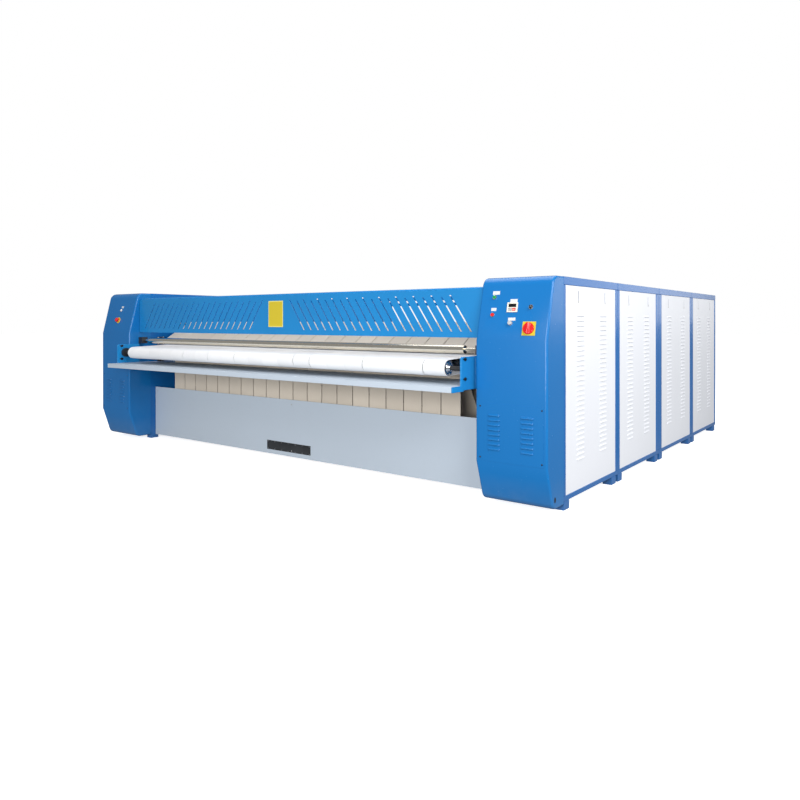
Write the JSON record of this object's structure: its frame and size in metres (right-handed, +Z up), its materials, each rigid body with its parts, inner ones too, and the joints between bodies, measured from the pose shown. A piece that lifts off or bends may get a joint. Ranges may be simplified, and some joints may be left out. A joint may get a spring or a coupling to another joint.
{
  "type": "flatwork ironer",
  "caption": "Industrial flatwork ironer: four heated cylinders between side cabinets, belt feed at the front, slotted finger guard and control consoles.",
  "frame": {"origin": "on the floor, under the middle of the outline", "axes": "+X to the operator's right, along the cylinders; +Y from the feed side to the delivery side; +Z up"},
  "size_m": [4.888, 4.511, 1.45],
  "materials": {
    "console_blue": "azure gloss paint",
    "frame_blue": "blue gloss paint",
    "guard_blue": "light blue gloss paint",
    "panel_white": "white powder coat",
    "sheet_grey": "pale blue-grey paint",
    "drum_steel": "ground and waxed steel",
    "roller_steel": "turned steel",
    "press_chrome": "polished",
    "belt_white": "white woven belt",
    "belt_beige": "needled felt",
    "housing_iron": "grey cast iron",
    "drive_steel": "oiled steel",
    "motor_grey": "grey enamel",
    "pipe_steel": "black steel pipe",
    "bezel_metal": "satin chrome",
    "button_green": "moulded",
    "button_red": "moulded",
    "button_white": "moulded",
    "knob_black": "moulded",
    "knob_grey": "moulded",
    "controller_case": "moulded"
  },
  "bodies": {
    "machine": {"left_console_shell": "console_blue", "left_console_cover": "console_blue", "left_outer_frame": "frame_blue", "left_bearing_wall": "frame_blue", "left_top_cover": "frame_blue", "left_roller_bracket": "guard_blue", "left_side_panel_1": "panel_white", "left_side_panel_2": "panel_white", "left_side_panel_3": "panel_white", "left_side_panel_4": "panel_white", "right_console_shell": "console_blue", "right_console_cover": "console_blue", "right_outer_frame": "frame_blue", "right_bearing_wall": "frame_blue", "right_top_cover": "frame_blue", "right_roller_bracket": "guard_blue", "right_side_panel_1": "panel_white", "right_side_panel_2": "panel_white", "right_side_panel_3": "panel_white", "right_side_panel_4": "panel_white", "cross_members": "frame_blue", "feed_table": "sheet_grey", "delivery_tray": "sheet_grey", "front_lower_panel": "sheet_grey", "rear_panels": "frame_blue", "feed_belts": "belt_white", "ironing_belts": "belt_beige", "return_belts": "belt_beige", "bearing_housings": "housing_iron", "drive_chain": "drive_steel", "gear_motor": "motor_grey", "steam_joints": "pipe_steel", "steam_manifold": "pipe_steel", "control_bezels": "bezel_metal", "temperature_controller": "controller_case"},
    "cylinder_1": {"cylinder_1": "drum_steel"},
    "cylinder_2": {"cylinder_2": "drum_steel"},
    "cylinder_3": {"cylinder_3": "drum_steel"},
    "cylinder_4": {"cylinder_4": "drum_steel"},
    "drive_sprocket": {"drive_sprocket": "drive_steel"},
    "feed_roller": {"feed_roller": "roller_steel"},
    "nip_roller": {"nip_roller": "roller_steel"},
    "nose_roller": {"nose_roller": "roller_steel"},
    "tension_roller": {"tension_roller": "roller_steel"},
    "rear_turn_roller": {"rear_turn_roller": "roller_steel"},
    "wrap_roller_1": {"wrap_roller_1": "roller_steel"},
    "wrap_roller_2": {"wrap_roller_2": "roller_steel"},
    "wrap_roller_3": {"wrap_roller_3": "roller_steel"},
    "return_top_roller": {"return_top_roller": "roller_steel"},
    "return_bottom_roller": {"return_bottom_roller": "roller_steel"},
    "return_rear_roller": {"return_rear_roller": "roller_steel"},
    "press_roller": {"press_roller": "press_chrome"},
    "finger_guard": {"finger_guard": "guard_blue"},
    "start_button": {"start_button": "button_green"},
    "stop_button": {"stop_button": "button_red"},
    "left_start_button": {"left_start_button": "button_white"},
    "emergency_button": {"emergency_button": "button_red"},
    "selector_switch": {"selector_switch": "knob_black"},
    "speed_knob": {"speed_knob": "knob_grey"},
    "main_switch": {"main_switch": "button_red"}
  },
  "joints": [
    {"name": "cylinder_1_spin", "type": "hinge", "parent": "machine", "child": "cylinder_1", "pos_m": [0, -1.1355, 0.74], "axis": [1, 0, 0], "continuous": true},
    {"name": "cylinder_2_spin", "type": "hinge", "parent": "machine", "child": "cylinder_2", "pos_m": [0, -0.1955, 0.74], "axis": [1, 0, 0], "continuous": true},
    {"name": "cylinder_3_spin", "type": "hinge", "parent": "machine", "child": "cylinder_3", "pos_m": [0, 0.7445, 0.74], "axis": [1, 0, 0], "continuous": true},
    {"name": "cylinder_4_spin", "type": "hinge", "parent": "machine", "child": "cylinder_4", "pos_m": [0, 1.6845, 0.74], "axis": [1, 0, 0], "continuous": true},
    {"name": "drive_sprocket_spin", "type": "hinge", "parent": "machine", "child": "drive_sprocket", "pos_m": [0, -0.6655, 0.59461], "axis": [1, 0, 0], "continuous": true},
    {"name": "feed_roller_spin", "type": "hinge", "parent": "machine", "child": "feed_roller", "pos_m": [0, -2.0755, 0.8727], "axis": [1, 0, 0], "continuous": true},
    {"name": "nip_roller_spin", "type": "hinge", "parent": "machine", "child": "nip_roller", "pos_m": [0, -1.6155, 0.8957], "axis": [1, 0, 0], "continuous": true},
    {"name": "nose_roller_spin", "type": "hinge", "parent": "machine", "child": "nose_roller", "pos_m": [0, -1.6705, 0.9765], "axis": [1, 0, 0], "continuous": true},
    {"name": "tension_roller_spin", "type": "hinge", "parent": "machine", "child": "tension_roller", "pos_m": [0, -1.4055, 1.12], "axis": [1, 0, 0], "continuous": true},
    {"name": "rear_turn_roller_spin", "type": "hinge", "parent": "machine", "child": "rear_turn_roller", "pos_m": [0, 2.0445, 1.12], "axis": [1, 0, 0], "continuous": true},
    {"name": "wrap_roller_1_spin", "type": "hinge", "parent": "machine", "child": "wrap_roller_1", "pos_m": [0, -0.6655, 1.07], "axis": [1, 0, 0], "continuous": true},
    {"name": "wrap_roller_2_spin", "type": "hinge", "parent": "machine", "child": "wrap_roller_2", "pos_m": [0, 0.2745, 1.07], "axis": [1, 0, 0], "continuous": true},
    {"name": "wrap_roller_3_spin", "type": "hinge", "parent": "machine", "child": "wrap_roller_3", "pos_m": [0, 1.2145, 1.07], "axis": [1, 0, 0], "continuous": true},
    {"name": "return_top_roller_spin", "type": "hinge", "parent": "machine", "child": "return_top_roller", "pos_m": [0, -1.6672, 0.775], "axis": [1, 0, 0], "continuous": true},
    {"name": "return_bottom_roller_spin", "type": "hinge", "parent": "machine", "child": "return_bottom_roller", "pos_m": [0, -1.6672, 0.16], "axis": [1, 0, 0], "continuous": true},
    {"name": "return_rear_roller_spin", "type": "hinge", "parent": "machine", "child": "return_rear_roller", "pos_m": [0, 2.0445, 0.2], "axis": [1, 0, 0], "continuous": true},
    {"name": "press_roller_spin", "type": "hinge", "parent": "machine", "child": "press_roller", "pos_m": [0, -1.8855, 0.985], "axis": [1, 0, 0], "continuous": true},
    {"name": "finger_guard_hinge", "type": "hinge", "parent": "machine", "child": "finger_guard", "pos_m": [0, -1.8795, 1.385], "axis": [-1, 0, 0], "range_deg": [0, 80]},
    {"name": "start_button_press", "type": "slide", "parent": "machine", "child": "start_button", "axis": [0, 0.9724, -0.2334], "range_m": [0, 0.004], "stiffness_N_per_m": 400},
    {"name": "stop_button_press", "type": "slide", "parent": "machine", "child": "stop_button", "axis": [0, 0.9724, -0.2334], "range_m": [0, 0.004], "stiffness_N_per_m": 400},
    {"name": "left_start_button_press", "type": "slide", "parent": "machine", "child": "left_start_button", "axis": [0, 0.9724, -0.2334], "range_m": [0, 0.004], "stiffness_N_per_m": 400},
    {"name": "emergency_button_press", "type": "slide", "parent": "machine", "child": "emergency_button", "axis": [0, 0.9724, -0.2334], "range_m": [0, 0.005]},
    {"name": "selector_switch_turn", "type": "hinge", "parent": "machine", "child": "selector_switch", "pos_m": [2.316, -1.96604, 1.258], "axis": [0, -0.9724, 0.2334], "range_deg": [-45, 45]},
    {"name": "speed_knob_turn", "type": "hinge", "parent": "machine", "child": "speed_knob", "pos_m": [2.189, -1.98981, 1.159], "axis": [0, -0.9724, 0.2334], "range_deg": [-135, 135]},
    {"name": "main_switch_turn", "type": "hinge", "parent": "machine", "child": "main_switch", "pos_m": [2.316, -1.99749, 1.127], "axis": [0, -0.9724, 0.2334], "range_deg": [0, 90]}
  ],
  "couplings": [
    {"joint": "cylinder_2_spin", "follows": "cylinder_1_spin", "ratio": 1},
    {"joint": "cylinder_3_spin", "follows": "cylinder_1_spin", "ratio": 1},
    {"joint": "cylinder_4_spin", "follows": "cylinder_1_spin", "ratio": 1},
    {"joint": "drive_sprocket_spin", "follows": "cylinder_1_spin", "ratio": 3},
    {"joint": "feed_roller_spin", "follows": "cylinder_1_spin", "ratio": 8},
    {"joint": "nip_roller_spin", "follows": "cylinder_1_spin", "ratio": 8.8889},
    {"joint": "nose_roller_spin", "follows": "cylinder_1_spin", "ratio": -15.385},
    {"joint": "tension_roller_spin", "follows": "cylinder_1_spin", "ratio": -10},
    {"joint": "rear_turn_roller_spin", "follows": "cylinder_1_spin", "ratio": -10},
    {"joint": "wrap_roller_1_spin", "follows": "cylinder_1_spin", "ratio": -7.2727},
    {"joint": "wrap_roller_2_spin", "follows": "cylinder_1_spin", "ratio": -7.2727},
    {"joint": "wrap_roller_3_spin", "follows": "cylinder_1_spin", "ratio": -7.2727},
    {"joint": "return_top_roller_spin", "follows": "cylinder_1_spin", "ratio": -10},
    {"joint": "return_bottom_roller_spin", "follows": "cylinder_1_spin", "ratio": -10},
    {"joint": "return_rear_roller_spin", "follows": "cylinder_1_spin", "ratio": -10}
  ]
}
